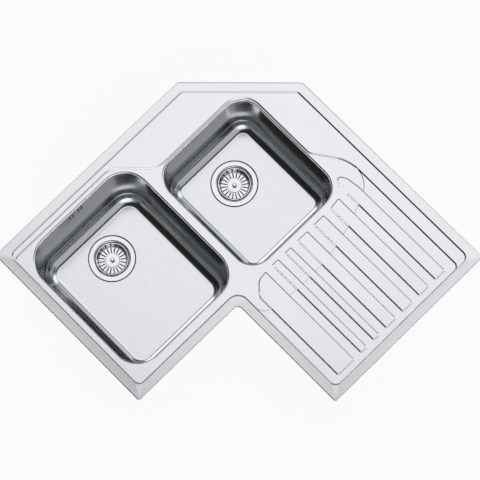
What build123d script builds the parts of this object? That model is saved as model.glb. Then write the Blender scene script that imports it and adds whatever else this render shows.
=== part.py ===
from build123d import *
from math import cos, radians, sin, sqrt, tan
import os

os.makedirs("parts", exist_ok=True)

# Corner kitchen sink: an L-shaped pressed stainless deck with two bowls and a ribbed drainer.
# Millimetres. +X runs along the drainer leg, -Y along the bowl leg, +Z up. Z = 0 is the worktop.
# The origin lies under the sealing strip, half way along the cut-off back corner.
# "left" is a distance from the wall edge of the bowl leg, "back" one from the wall edge of the
# drainer leg, so the kitchen's corner is at left = 0, back = 0.

# ---- Outline of the deck ----
wall_reach = 830.0  # length of each leg along its wall
leg_depth = 500.0  # each leg, from the wall edge to the front edge
corner_cut = 216.0  # how much of each wall edge the cut back corner takes
outline_radius = 7.0
cut_radius = 10.0
notch_radius = 12.0  # the inside corner between the two legs
sheet = 1.0  # thickness of the pressed steel
edge_roll = 2.5  # rounding of the deck's outer edge
edge_lift = 0.5  # the turned-down edge stops this far above the worktop

# ---- Heights of the pressed levels, top surface above the worktop ----
rim_top = 5.0
ledge_top = 3.4  # the flat behind the bowls
field_top = 1.2  # the sunk field around the bowls
drainer_top = 2.0  # the drainer's floor
rib_top = 4.2
step_angle = 45.0  # slope of each pressed step, from the vertical

# ---- Pressed lines ----
wall_rim = 25.0  # rim width along the walls and the cut corner
front_rim = 24.0  # rim width along the free edges
rim_line_radius = 18.0
notch_line_radius = 28.0
left_ledge = 40.0  # from the wall edge to the field beside the main bowl
back_ledge = 58.0  # from the wall edge to the field behind the drainer
swing_run = 78.0  # front-to-back length of the slanted line between the two ledge widths
swing_radius = 55.0
drainer_swing_from = 115.0  # start of the drainer's slanted line, left of the second bowl's right wall
drainer_swing_to = 35.0  # its end
drainer_swing_radius = 110.0
drainer_swing_exit_radius = 27.5
field_corner_radius = 13.0

# ---- Bowls: the mouth's straight walls, before its lip is rounded ----
main_left = 55.0  # from the wall edge
main_front = 51.0  # from the leg's front edge
main_end = 43.0  # from the leg's end
main_depth = 180.0
main_corner = 66.0
second_left = 129.0
second_back = 122.0
second_front = 80.0  # from the leg's front edge
second_width = 339.0
second_depth = 160.0
second_corner = 55.0
bowl_gap = 27.0  # between the two bowls
lip_radius = 5.0
lip_land = 1.0  # flat of the bowl's own sheet outside its rounded lip
bowl_draft = 3.5  # degrees
floor_radius = 32.0

# ---- Drainer ----
rib_widths = (35.0, 35.0, 36.0, 36.0, 22.0, 23.0, 57.0)
first_rib_back = 87.0
last_rib_front = 49.0  # from the leg's front edge
rib_start = 18.0  # right of the second bowl's right wall
rib_end = 40.0  # from the leg's end
rib_corner = 5.0
short_rib_lean = 5.0  # how much the second rib's end slants
leaf_reach = 48.0  # the leaf-shaped first rib starts this far before the others
leaf_shoulder = 60.0  # from the leaf's tip to where its back edge runs straight
leaf_shoulder_radius = 90.0
leaf_nose = 24.0
leaf_nose_drop = 5.0
leaf_nose_radius = 40.0
leaf_tip_drop = 20.0
leaf_tip_radius = 8.0
leaf_belly_radius = 30.0
wide_rib_lean = 4.0
wide_rib_lean_radius = 30.0
wide_rib_cut = 34.0  # how far the last rib's front corner is cut back
wide_rib_cut_radius = 26.0
drainer_reach = 104.0  # of the curved step, right of the second bowl's right wall
drainer_line_back = 341.0  # where it reaches furthest
drainer_line_radius = 567.0
drainer_back_flare = 60.0  # rounding where that step swings into the field's back edge
drainer_front_flare = 27.5
step_overlap = 0.4  # how far the drainer's floor reaches into the field's own step

# ---- Wastes, measured from the bowl floor at the drain ----
main_drain_left = 113.0  # from the bowl's left wall to the drain
second_drain_left = 120.0
seat_clearance = 0.8  # round the strainer's flange
seat_slope = 1.6  # width of the recess's sloping side
seat_drop = 2.0
drain_hole = 45.5
flange_radius = 57.0
flange_gasket = 1.0
strainer_sheet = 1.0
cup_radius = 41.0  # inside
cup_depth = 26.0
cup_mouth_radius = 6.0
cup_foot_radius = 3.0
cup_well_radius = 12.0
cup_well_slope = 1.0
cup_well_drop = 3.0
flange_edge_radius = 0.4
cup_windows = 8
cup_window_radius = 5.5

# ---- Basket ----
basket_sheet = 0.8
basket_clearance = 0.5
basket_rim = 1.5  # width of the flat rim
basket_bend = 2.5
basket_foot_radius = 35.0
basket_depth = 19.0
slot_count = 20
slot_width = 2.8
slot_inner, slot_outer = 19.6, 34.0
disc_radius = 17.2
disc_rise = 2.0
disc_slope = 1.2
knob_radius = 5.0
knob_height = 11.0
knob_grip = 5.0
knob_crown_radius = 2.2
knob_under_radius = 1.5
neck_slope = 1.5
neck_swell = 0.6  # neck radius over the stem's
neck_radius = 1.0
collar_swell = 1.0  # collar radius over the knob's
collar_height = 1.5
collar_edge_radius = 0.6
stem_tip_radius = 0.8
stem_radius = 2.4
stem_length = 14.0  # below the basket's raised disc
stem_clearance = 0.1
seal_radius = 33.5
seal_thickness = 2.0
seal_lip = 3.0
seal_lip_slope = 1.0
seal_edge_radius = 0.4
seal_clearance = 0.2
soft_clearance = 0.3

# ---- Waste body under the sink ----
lower_gasket = 2.0
gasket_overhang = 1.0  # how far each gasket stays behind the edge above it
body_flange_radius = 56.0
body_flange = 4.0
body_radius = 50.0
body_wall = 4.0
body_depth = 38.0  # straight wall, from the bowl floor
body_edge_radius = 1.0
cone_height = 14.0
cone_bend = 5.0
cone_foot_bend = 3.0
cone_bore_rise = 2.0  # the bore's cone ends this far above the outer one
outlet_radius = 23.9  # outside of the threaded outlet
outlet_bore = 20.5
outlet_length = 33.0
outlet_edge_radius = 0.8
hub_radius = 8.0
hub_length = 14.0
spoke_width = 3.0
spoke_height = 4.0
hub_gap = 1.0
clamp_screw_radius = 3.9
clamp_head_radius = 8.0
clamp_head = 2.5
clamp_edge_radius = 1.0
clamp_chamfer = 0.6
clamp_slot = 1.6
clamp_length = 16.0
thread_clearance = 0.1
port_height = -24.0
port_radius = 13.0
port_bore = 10.4
port_reach = 78.0  # from the drain's axis

# ---- Overflow ----
overflow_depth = 22.0  # of the holes' centres below the field
hole_width = 5.5
hole_height = 20.0
hole_corner = 1.0
hole_offsets = (-19.0, -9.5, 9.5, 19.0)
overflow_width = 56.0
overflow_height = 30.0
overflow_corner = 5.0
overflow_back_radius = 3.0
overflow_box = 24.0
overflow_wall = 2.5
overflow_gasket_thickness = 2.0
overflow_gasket_width = 3.0
overflow_boss = 4.0
overflow_screw_radius = 2.0
overflow_head_radius = 3.8
overflow_head = 1.4
overflow_slot = 1.0
pipe_radius = 10.0
pipe_bore = 8.3
pipe_bend = 30.0
pipe_fit = 0.4
socket_radius = 12.0
socket_clearance = 0.6
socket_length = 22.0
socket_stop = 4.0  # the pipe ends this far below the box's floor line
pipe_end_reach = 60.0
nut_radius = 17.0
nut_sides = 8
nut_length = 17.0
nut_wall = 2.5
washer_thickness = 2.3

# ---- Sealing strip, sound pads and fixing clips ----
strip_inset = 4.0
strip_width = 10.0
pad_thickness = 2.0
pad_margin = 8.0
pad_corner = 12.0
clip_inset = 19.5
clip_length = 22.0
clip_width = 8.0
clip_sheet = 1.5
clip_drop = 20.0
clip_screw_radius = 2.5
clip_screw_length = 52.0
clip_screw_gap = 3.0  # below the rim's underside
clip_head_radius = 5.0
clip_head = 4.0
claw_reach = 30.0
claw_tail = 7.0
claw_width = 8.0
claw_sheet = 2.0
claw_tip = 12.0
clip_from_cut = 129.0  # along each wall edge, from the cut corner to the first clip
clip_from_end = 140.0  # from the second clip to the leg's end
front_clip_from_corner = 85.0  # along each front edge, from the inside corner to the first clip
front_clip_from_end = 80.0

# ---- Places that follow from the sizes above ----
diagonal = sqrt(2)
seat_offset = (corner_cut + 2 * (strip_inset + strip_width / 2) / diagonal) / 2
under_rim = rim_top - sheet
second_right = second_left + second_width
second_length = leg_depth - second_front - second_back
main_back = second_back + second_length + bowl_gap
main_width = leg_depth - main_front - main_left
main_length = wall_reach - main_end - main_back
rib_left = second_right + rib_start
rib_right = wall_reach - rib_end
rib_row = leg_depth - last_rib_front - first_rib_back
rib_gap = (rib_row - sum(rib_widths)) / (len(rib_widths) - 1)
wall_lean = tan(radians(bowl_draft))
seat_radius = flange_radius + seat_clearance
dish_radius = seat_radius + seat_slope
hanging = (Align.CENTER, Align.CENTER, Align.MAX)  # below the point it is placed at


def spot(left, back, height=0.0):
    """A point given by its distances from the two wall edges."""
    return Vector(left - seat_offset, seat_offset - back, height)


def level(height):
    """The horizontal plane at a height, with the kitchen's corner as its origin."""
    return Plane(spot(0, 0, height))


def save(piece, name):
    """Labels a finished piece and writes its file."""
    piece.label = name
    export_step(piece, "parts/" + name + ".step")


# ---- Profiles ----


def outline(wall_inset, front_inset, radius, notch, cut):
    """The L-shaped outline, moved inwards from the wall edges and from the free edges."""
    far = wall_reach - front_inset
    front = leg_depth - front_inset
    slant = corner_cut + wall_inset * (diagonal - 1)
    corners = [
        (slant, -wall_inset),
        (far, -wall_inset),
        (far, -front),
        (front, -front),
        (front, -far),
        (wall_inset, -far),
        (wall_inset, -slant),
    ]
    with BuildSketch() as shape:
        with BuildLine():
            FilletPolyline(*corners, radius=[cut, radius, radius, notch, radius, radius, cut], close=True)
        make_face()
    return shape.sketch


def field_outline():
    """The sunk field: it follows the free edges, and swings in behind the two bowls."""
    rim_step = rim_top - ledge_top
    far = wall_reach - front_rim - rim_step
    front = leg_depth - front_rim - rim_step
    second_edge = second_left - lip_radius - lip_land - (ledge_top - field_top)
    second_rear = second_back - lip_radius - lip_land - (ledge_top - field_top)
    swing_front = main_back - lip_radius + swing_run / 2
    corners = [
        (left_ledge, -far),
        (left_ledge, -swing_front),
        (second_edge, -(swing_front - swing_run)),
        (second_edge, -second_rear),
        (second_right - drainer_swing_from, -second_rear),
        (second_right - drainer_swing_to, -back_ledge),
        (far, -back_ledge),
        (far, -front),
        (front, -front),
        (front, -far),
    ]
    radii = [
        field_corner_radius,
        swing_radius,
        swing_radius,
        second_corner + lip_radius + lip_land,
        drainer_swing_exit_radius,
        drainer_swing_radius,
        field_corner_radius,
        rim_line_radius - rim_step,
        notch_line_radius + rim_step,
        rim_line_radius - rim_step,
    ]
    with BuildSketch() as shape:
        with BuildLine():
            FilletPolyline(*corners, radius=radii, close=True)
        make_face()
    return shape.sketch


def sunk_floor():
    """The lowest part of the field, left of the long curved line; the line swings out at its ends."""
    back = back_ledge + ledge_top - field_top - step_overlap
    front = leg_depth - front_rim - rim_top + field_top + step_overlap
    centre = (second_right + drainer_reach - drainer_line_radius, -drainer_line_back)
    with BuildSketch() as shape:
        with Locations((second_right, -(back + front) / 2)):
            Rectangle(2 * drainer_line_radius, front - back)
        with Locations(centre):
            Circle(drainer_line_radius, mode=Mode.INTERSECT)
        fillet(shape.vertices().sort_by(Axis.X)[-2], drainer_back_flare)
        fillet(shape.vertices().sort_by(Axis.X)[-1], drainer_front_flare)
    return shape.sketch


def drainer_floor():
    """The rectangle that the drainer's raised floor is cut from."""
    far = wall_reach - front_rim
    front = leg_depth - front_rim
    floor_back = back_ledge - rim_top + ledge_top
    floor_left = second_right - rib_start
    with BuildSketch() as shape:
        with Locations(((floor_left + far) / 2, -(floor_back + front) / 2)):
            Rectangle(far - floor_left, front - floor_back)
    return shape.sketch


def rib_faces():
    """Seven raised ribs: a leaf-shaped one behind, five bars, and a wide one in front."""
    backs = [first_rib_back + sum(rib_widths[:i]) + rib_gap * i for i in range(len(rib_widths))]
    faces = []
    for number, (back, width) in enumerate(zip(backs, rib_widths)):
        front = back + width
        lean = short_rib_lean if number == 1 else 0.0
        tail = [(rib_left - lean, -back), (rib_left, -front)]
        tail_radii = [rib_corner, rib_corner]
        if number == 0:
            tip = rib_left - leaf_reach
            tail = [
                (tip + leaf_shoulder, -back),
                (tip + leaf_nose, -back - leaf_nose_drop),
                (tip, -back - leaf_tip_drop),
                (tip + leaf_nose, -front),
            ]
            tail_radii = [leaf_shoulder_radius, leaf_nose_radius, leaf_tip_radius, leaf_belly_radius]
        if number == len(rib_widths) - 1:
            middle = back + width / 2
            tail = [(rib_left, -back), (rib_left + wide_rib_lean, -middle), (rib_left + wide_rib_cut, -front)]
            tail_radii = [rib_corner, wide_rib_lean_radius, wide_rib_cut_radius]
        corners = tail + [(rib_right, -front), (rib_right, -back)]
        radii = tail_radii + [rib_corner, rib_corner]
        with BuildSketch() as shape:
            with BuildLine():
                FilletPolyline(*corners, radius=radii, close=True)
            make_face()
        faces.append(shape.sketch)
    return faces


def mouth(left, back, width, length, corner, margin):
    """A bowl's rounded mouth, widened by a margin."""
    with BuildSketch() as shape:
        with Locations((left + width / 2, -(back + length / 2))):
            RectangleRounded(width + 2 * margin, length + 2 * margin, corner + margin)
    return shape.sketch


# ---- Deck ----

rim_line = outline(wall_rim, front_rim, rim_line_radius, notch_line_radius, cut_radius)
field_line = field_outline()
drainer_face = drainer_floor()
sunk_face = sunk_floor()
ribs = rib_faces()
lip_margin = lip_radius + lip_land
main_mouth = mouth(main_left, main_back, main_width, main_length, main_corner, lip_margin)
second_mouth = mouth(second_left, second_back, second_width, second_length, second_corner, lip_margin)


def drainer_step(drop):
    """The drainer's raised floor, with the curved step down to the field along its left side."""
    with BuildPart() as step:
        with BuildSketch(level(field_top - drop)):
            add(drainer_face)
        extrude(amount=drainer_top - field_top)
        with BuildSketch(level(field_top - drop)):
            add(sunk_face)
        extrude(amount=drainer_top - field_top, taper=-step_angle, mode=Mode.SUBTRACT)
    return step.part


def pressed_block(inset, drop, foot):
    """A solid block whose top has every pressed level, lowered by drop and trimmed by inset."""
    edge = outline(inset, inset, outline_radius - inset, notch_radius + inset, cut_radius - inset)
    raised_floor = drainer_step(drop)
    with BuildPart() as block:
        with BuildSketch(level(foot)):
            add(edge)
        extrude(amount=rim_top - drop - foot)
        fillet(block.faces().sort_by(Axis.Z)[-1].edges(), edge_roll - inset)
        with BuildSketch(level(rim_top - drop)):
            add(rim_line)
        extrude(amount=-(rim_top - ledge_top), taper=step_angle, mode=Mode.SUBTRACT)
        with BuildSketch(level(ledge_top - drop)):
            add(field_line)
        extrude(amount=-(ledge_top - field_top), taper=step_angle, mode=Mode.SUBTRACT)
        add(raised_floor)
        for rib in ribs:
            with BuildSketch(level(field_top - drop)):
                add(rib)
            extrude(amount=rib_top - field_top, taper=step_angle)
    return block.part


block_foot = field_top - 3 * sheet
deck_top = pressed_block(0, 0, block_foot)
deck_underside = pressed_block(sheet, sheet, block_foot - sheet)
deck_edge = outline(0, 0, outline_radius, notch_radius, cut_radius)

with BuildPart() as deck:
    add(deck_top)
    add(deck_underside, mode=Mode.SUBTRACT)
    with BuildSketch(level(rim_top)):
        add(main_mouth)
        add(second_mouth)
    extrude(amount=-2 * rim_top, mode=Mode.SUBTRACT)
    with BuildSketch(level(edge_lift)):
        add(deck_edge)
        offset(amount=-2 * sheet, kind=Kind.INTERSECTION, mode=Mode.SUBTRACT)
    extrude(amount=block_foot - edge_lift - sheet, mode=Mode.SUBTRACT)
save(deck.part, "deck_and_drainer")

# ---- Bowls ----


def punch(face, depth, radius):
    """A drafted block with a rounded bottom, as deep as given below the field."""
    with BuildPart() as block:
        with BuildSketch(level(field_top)):
            add(face)
        extrude(amount=-depth, taper=bowl_draft)
        fillet(block.edges().group_by(Axis.Z)[0], radius)
    return block.part


def bowl_shell(left, back, width, length, corner, depth, drain_left):
    """A pressed bowl: rounded lip, drafted walls, wide floor radius and a dished drain seat."""
    rim_face = mouth(left, back, width, length, corner, lip_margin)
    outside = punch(mouth(left, back, width, length, corner, sheet), depth + sheet, floor_radius + sheet)
    inside = punch(mouth(left, back, width, length, corner, 0), depth, floor_radius)
    drain = spot(left + drain_left, back + length / 2, field_top - depth)
    with BuildPart() as shell:
        add(outside)
        with BuildSketch(level(field_top - sheet)):
            add(rim_face)
        extrude(amount=sheet)
        flange_underside = shell.faces().filter_by(Axis.Z).group_by(Axis.Z)[-2][0]
        fillet(flange_underside.inner_wires()[0].edges(), lip_radius - sheet)
        with Locations(drain - (0, 0, sheet)):
            Cone(seat_radius + sheet, dish_radius + sheet, seat_drop, align=hanging)
        add(inside, mode=Mode.SUBTRACT)
        mouth_face = shell.faces().filter_by(Axis.Z).sort_by(Axis.Z)[-1]
        fillet(mouth_face.inner_wires()[0].edges(), lip_radius)
        with Locations(drain):
            Cone(seat_radius, dish_radius, seat_drop, align=hanging, mode=Mode.SUBTRACT)
        with BuildSketch(Plane(drain)):
            Circle(drain_hole)
        extrude(amount=-2 * (seat_drop + sheet), mode=Mode.SUBTRACT)
    return shell.part


main_drain = spot(main_left + main_drain_left, main_back + main_length / 2, field_top - main_depth)
second_drain = spot(
    second_left + second_drain_left, second_back + second_length / 2, field_top - second_depth
)
overflow_back = main_back + main_length / 2
overflow_centre = spot(main_left, overflow_back, field_top - overflow_depth)

with BuildPart() as main_bowl:
    add(bowl_shell(main_left, main_back, main_width, main_length, main_corner, main_depth, main_drain_left))
    with BuildSketch(Plane(overflow_centre, x_dir=(0, 1, 0), z_dir=(1, 0, 0))):
        with Locations([(offset, 0) for offset in hole_offsets]):
            RectangleRounded(hole_width, hole_height, hole_corner)
        Circle(overflow_screw_radius + thread_clearance)
    extrude(amount=lip_radius, both=True, mode=Mode.SUBTRACT)
save(main_bowl.part, "main_bowl")

second_bowl = bowl_shell(
    second_left, second_back, second_width, second_length, second_corner, second_depth, second_drain_left
)
save(second_bowl, "second_bowl")

# ---- Wastes: one basket strainer and its plastic body per bowl ----


def section(centre):
    """The half plane in which a turned piece is drawn: x is its radius, y its height."""
    return Plane(centre, x_dir=(1, 0, 0), z_dir=(0, -1, 0))


def turned(centre, corners, radii):
    """A round piece turned about a vertical axis from a closed outline with rounded corners."""
    with BuildPart() as piece:
        with BuildSketch(section(centre)):
            with BuildLine():
                FilletPolyline(*corners, radius=radii, close=True)
            make_face()
        revolve(axis=Axis(centre, (0, 0, 1)))
    return piece.part


def ring(centre, inner, outer, bottom, top):
    """A flat ring between two heights, measured from the drain."""
    with BuildPart() as piece:
        with BuildSketch(Plane(centre + (0, 0, bottom))):
            Circle(outer)
            Circle(inner, mode=Mode.SUBTRACT)
        extrude(amount=top - bottom)
    return piece.part


gasket_bore = cup_radius + cup_mouth_radius + soft_clearance
flange_bottom = -seat_drop + flange_gasket
flange_top = flange_bottom + strainer_sheet
cup_floor = flange_bottom - cup_depth
well_floor = cup_floor - cup_well_drop
basket_top = flange_top - 2 * basket_sheet
basket_floor = basket_top - basket_depth
disc_top = basket_floor + disc_rise
stem_tip = disc_top - basket_sheet - stem_length
body_top = -seat_drop - sheet - lower_gasket
body_end = -body_depth - cone_height
outlet_end = body_end - outlet_length
hub_top = well_floor - strainer_sheet - hub_gap


def strainer_cup(drain):
    """The steel flange and cup that hangs in the drain hole, with windows in its floor."""
    outside = cup_radius + strainer_sheet
    corners = [
        (flange_radius, flange_top),
        (cup_radius, flange_top),
        (cup_radius, cup_floor),
        (cup_well_radius, cup_floor),
        (cup_well_radius - cup_well_slope, well_floor),
        (clamp_screw_radius + thread_clearance, well_floor),
        (clamp_screw_radius + thread_clearance, well_floor - strainer_sheet),
        (cup_well_radius, well_floor - strainer_sheet),
        (cup_well_radius + cup_well_slope, cup_floor - strainer_sheet),
        (outside, cup_floor - strainer_sheet),
        (outside, flange_bottom),
        (flange_radius, flange_bottom),
    ]
    bend = cup_mouth_radius - strainer_sheet
    foot = cup_foot_radius + strainer_sheet
    radii = [flange_edge_radius, cup_mouth_radius, cup_foot_radius, 0, 0, 0, 0, 0, 0, foot, bend, 0]
    window_ring = (cup_well_radius + seal_radius - seal_lip) / 2
    with BuildPart() as cup:
        add(turned(drain, corners, radii))
        with BuildSketch(Plane(drain + (0, 0, cup_floor + strainer_sheet))):
            with PolarLocations(window_ring, cup_windows):
                Circle(cup_window_radius)
        extrude(amount=-3 * strainer_sheet, mode=Mode.SUBTRACT)
    return cup.part


def basket(drain):
    """The lift-out basket: a sloping wall, radial slots in its floor and a raised centre disc."""
    rim = cup_radius - basket_clearance
    wall = rim - basket_rim
    corners = [
        (rim, basket_top),
        (wall, basket_top),
        (basket_foot_radius, basket_floor),
        (disc_radius + disc_slope, basket_floor),
        (disc_radius, disc_top),
        (stem_radius + stem_clearance, disc_top),
        (stem_radius + stem_clearance, disc_top - basket_sheet),
        (disc_radius - basket_sheet / 2, disc_top - basket_sheet),
        (disc_radius + disc_slope - basket_sheet / 2, basket_floor - basket_sheet),
        (basket_foot_radius + basket_sheet, basket_floor - basket_sheet),
        (wall + basket_sheet, basket_top - basket_sheet),
        (rim, basket_top - basket_sheet),
    ]
    radii = [0, 0, basket_bend, 0, 0, 0, 0, 0, 0, basket_bend + basket_sheet, 0, 0]
    slot_length = slot_outer - slot_inner
    with BuildPart() as strainer:
        add(turned(drain, corners, radii))
        with BuildSketch(Plane(drain + (0, 0, basket_floor - 2 * basket_sheet))):
            with PolarLocations((slot_inner + slot_outer) / 2, slot_count):
                SlotOverall(slot_length, slot_width)
        extrude(amount=3 * basket_sheet, mode=Mode.SUBTRACT)
    return strainer.part


def basket_stem(drain):
    """The basket's knob, neck and guide pin, turned from one bar."""
    top = disc_top + knob_height
    neck = stem_radius + neck_swell
    collar = knob_radius + collar_swell
    corners = [
        (0, top),
        (knob_radius, top),
        (knob_radius, top - knob_grip),
        (neck, top - knob_grip - neck_slope),
        (neck, disc_top + collar_height),
        (collar, disc_top + collar_height),
        (collar, disc_top),
        (stem_radius, disc_top),
        (stem_radius, stem_tip),
        (0, stem_tip),
    ]
    upper_radii = [0, knob_crown_radius, knob_under_radius, 0, neck_radius, collar_edge_radius]
    return turned(drain, corners, upper_radii + [0, 0, stem_tip_radius, 0])


def basket_seal(drain):
    """The rubber disc under the basket, with a lip that closes the cup's floor."""
    top = basket_floor - basket_sheet - seal_clearance
    bottom = top - seal_thickness
    foot = cup_floor + seal_clearance
    corners = [
        (stem_radius + stem_clearance, top),
        (seal_radius, top),
        (seal_radius, foot),
        (seal_radius - seal_lip, foot),
        (seal_radius - seal_lip - seal_lip_slope, bottom),
        (stem_radius + stem_clearance, bottom),
    ]
    return turned(drain, corners, [0, seal_edge_radius, seal_edge_radius, seal_edge_radius, 0, 0])


def clamp_screw(drain):
    """The centre screw that pulls cup and waste body together; its bored head takes the stem."""
    head_top = well_floor + clamp_head
    socket = stem_radius + 3 * stem_clearance
    with BuildPart() as screw:
        with BuildSketch(Plane(drain + (0, 0, well_floor))):
            Circle(clamp_head_radius)
        extrude(amount=clamp_head)
        fillet(screw.edges().group_by(Axis.Z)[-1], clamp_edge_radius)
        with BuildSketch(Plane(drain + (0, 0, well_floor))):
            Circle(clamp_screw_radius)
        extrude(amount=-clamp_length)
        chamfer(screw.edges().group_by(Axis.Z)[0], clamp_chamfer)
        with BuildSketch(Plane(drain + (0, 0, head_top))):
            Circle(socket)
        extrude(amount=stem_tip - hub_gap - head_top, mode=Mode.SUBTRACT)
        with BuildSketch(Plane(drain + (0, 0, head_top))):
            Rectangle(2 * clamp_head_radius, clamp_slot)
        extrude(amount=-clamp_head / 2, mode=Mode.SUBTRACT)
    return screw.part


def waste_body(drain, with_port):
    """The moulded cup below the bowl: flange, cone, threaded outlet and a hub for the screw."""
    cone_inner = body_radius - body_wall
    corners = [
        (body_flange_radius, body_top),
        (cone_inner, body_top),
        (cone_inner, -body_depth),
        (outlet_bore, body_end + cone_bore_rise),
        (outlet_bore, outlet_end),
        (outlet_radius, outlet_end),
        (outlet_radius, body_end),
        (body_radius, -body_depth),
        (body_radius, body_top - body_flange),
        (body_flange_radius, body_top - body_flange),
    ]
    bore_radii = [body_edge_radius, 0, cone_bend, cone_foot_bend, 0]
    skin_radii = [outlet_edge_radius, cone_foot_bend, cone_bend, body_edge_radius, body_edge_radius]
    port_start = drain + (-cone_inner, 0, port_height)
    with BuildPart() as body:
        add(turned(drain, corners, bore_radii + skin_radii))
        with BuildSketch(Plane(drain + (0, 0, hub_top))):
            Circle(hub_radius)
        extrude(amount=-hub_length)
        with BuildSketch(Plane(drain + (0, 0, hub_top))):
            with PolarLocations(0, 2, 45):
                Rectangle(2 * cone_inner + body_wall, spoke_width)
        extrude(amount=-spoke_height)
        if with_port:
            with BuildSketch(Plane(port_start, z_dir=(-1, 0, 0))):
                Circle(port_radius)
            extrude(amount=port_reach - cone_inner)
            with BuildSketch(Plane(port_start + (body_wall, 0, 0), z_dir=(-1, 0, 0))):
                Circle(port_bore)
            extrude(amount=port_reach, mode=Mode.SUBTRACT)
        with BuildSketch(Plane(drain + (0, 0, hub_top))):
            Circle(clamp_screw_radius + thread_clearance)
        extrude(amount=-hub_length, mode=Mode.SUBTRACT)
    return body.part


for place, drain in (("main", main_drain), ("second", second_drain)):
    save(strainer_cup(drain), place + "_strainer_cup")
    flange_seal = ring(drain, gasket_bore, flange_radius - gasket_overhang, -seat_drop, flange_bottom)
    save(flange_seal, place + "_flange_gasket")
    save(basket(drain), place + "_basket")
    save(basket_stem(drain), place + "_basket_knob")
    save(basket_seal(drain), place + "_basket_seal")
    save(clamp_screw(drain), place + "_clamp_screw")
    gasket_hole = drain_hole + gasket_overhang
    body_seal = ring(drain, gasket_hole, body_flange_radius, body_top, body_top + lower_gasket)
    save(body_seal, place + "_body_gasket")
    save(waste_body(drain, place == "main"), place + "_waste_body")

# ---- Overflow: four upright slots high in the main bowl, drained down its wall side ----

wall_face = overflow_centre + (overflow_depth * wall_lean - sheet / cos(radians(bowl_draft)), 0, 0)
outward = Vector(-cos(radians(bowl_draft)), 0, -sin(radians(bowl_draft)))
wall_plane = Plane(wall_face, x_dir=(0, 1, 0), z_dir=outward)
gasket_plane = wall_plane.offset(overflow_gasket_thickness)

with BuildPart() as overflow_gasket:
    with BuildSketch(wall_plane):
        RectangleRounded(overflow_width, overflow_height, overflow_corner)
        offset(amount=-overflow_gasket_width, mode=Mode.SUBTRACT)
    extrude(amount=overflow_gasket_thickness)
save(overflow_gasket.part, "overflow_gasket")

socket_top = gasket_plane.offset(socket_radius + socket_clearance).origin
pipe_top = socket_top - (0, 0, overflow_height / 2 + socket_stop)
pipe_corner = Vector(pipe_top.X, pipe_top.Y, main_drain.Z + port_height)
pipe_end = main_drain + (-pipe_end_reach, 0, port_height)

with BuildPart() as overflow_housing:
    with BuildSketch(gasket_plane):
        RectangleRounded(overflow_width, overflow_height, overflow_corner)
    extrude(amount=overflow_box)
    fillet(overflow_housing.faces().sort_by(Axis.X)[0].edges(), overflow_back_radius)
    with BuildSketch(Plane(socket_top)):
        Circle(socket_radius)
    extrude(amount=-(overflow_height / 2 + socket_length))
    with BuildSketch(gasket_plane):
        inner_width = overflow_width - 2 * overflow_wall
        inner_height = overflow_height - 2 * overflow_wall
        RectangleRounded(inner_width, inner_height, overflow_corner - overflow_wall)
    extrude(amount=overflow_box - overflow_wall, mode=Mode.SUBTRACT)
    with BuildSketch(Plane(pipe_top)):
        Circle(pipe_radius + pipe_fit / 2)
    extrude(amount=-socket_length, mode=Mode.SUBTRACT)
    with BuildSketch(Plane(socket_top)):
        Circle(pipe_bore)
    extrude(amount=-(overflow_height / 2 + socket_length), mode=Mode.SUBTRACT)
    with BuildSketch(gasket_plane):
        Circle(overflow_boss)
    extrude(amount=overflow_box - overflow_wall / 2)
    with BuildSketch(gasket_plane):
        Circle(overflow_screw_radius + thread_clearance)
    extrude(amount=overflow_box / 2, mode=Mode.SUBTRACT)
save(overflow_housing.part, "overflow_housing")

head_plane = wall_plane.offset(-sheet)
with BuildPart() as overflow_screw:
    with BuildSketch(head_plane):
        Circle(overflow_head_radius)
    extrude(amount=-overflow_head)
    fillet(overflow_screw.faces().sort_by(Axis.X)[-1].edges(), overflow_head / 2)
    with BuildSketch(head_plane):
        Circle(overflow_screw_radius)
    extrude(amount=sheet + overflow_gasket_thickness + overflow_box / 2 - soft_clearance)
    with BuildSketch(head_plane.offset(-overflow_head)):
        Rectangle(2 * overflow_head_radius, overflow_slot)
    extrude(amount=overflow_head / 2, mode=Mode.SUBTRACT)
save(overflow_screw.part, "overflow_screw")

with BuildPart() as overflow_pipe:
    with BuildLine() as pipe_route:
        FilletPolyline(pipe_top, pipe_corner, pipe_end, radius=pipe_bend)
    with BuildSketch(Plane(pipe_top)):
        Circle(pipe_radius)
        Circle(pipe_bore, mode=Mode.SUBTRACT)
    sweep(path=pipe_route.wires()[0])
save(overflow_pipe.part, "overflow_pipe")

port_end = main_drain + (-port_reach, 0, port_height)
with BuildPart() as port_washer:
    with BuildSketch(Plane(port_end, z_dir=(-1, 0, 0))):
        Circle(port_radius - thread_clearance)
        Circle(pipe_radius + thread_clearance / 2, mode=Mode.SUBTRACT)
    extrude(amount=washer_thickness)
save(port_washer.part, "port_washer")

nut_inside = washer_thickness + thread_clearance
with BuildPart() as port_nut:
    with BuildSketch(Plane(port_end + (-nut_inside - nut_wall, 0, 0), z_dir=(1, 0, 0))):
        RegularPolygon(nut_radius, nut_sides)
    extrude(amount=nut_length)
    with BuildSketch(Plane(port_end + (-nut_inside, 0, 0), z_dir=(1, 0, 0))):
        Circle(port_radius + thread_clearance)
    extrude(amount=nut_length, mode=Mode.SUBTRACT)
    with BuildSketch(Plane(port_end + (-nut_inside - nut_wall, 0, 0), z_dir=(1, 0, 0))):
        Circle(pipe_radius + thread_clearance)
    extrude(amount=nut_length, mode=Mode.SUBTRACT)
save(port_nut.part, "port_nut")

# ---- Sealing strip and sound pads ----

strip_outer = outline(strip_inset, strip_inset, outline_radius, notch_radius, cut_radius)
strip_far = strip_inset + strip_width
strip_inner = outline(strip_far, strip_far, outline_radius, notch_radius + strip_width, cut_radius)
with BuildPart() as sealing_strip:
    with BuildSketch(level(0)):
        add(strip_outer)
        add(strip_inner, mode=Mode.SUBTRACT)
    extrude(amount=under_rim)
save(sealing_strip.part, "sealing_strip")


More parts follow.
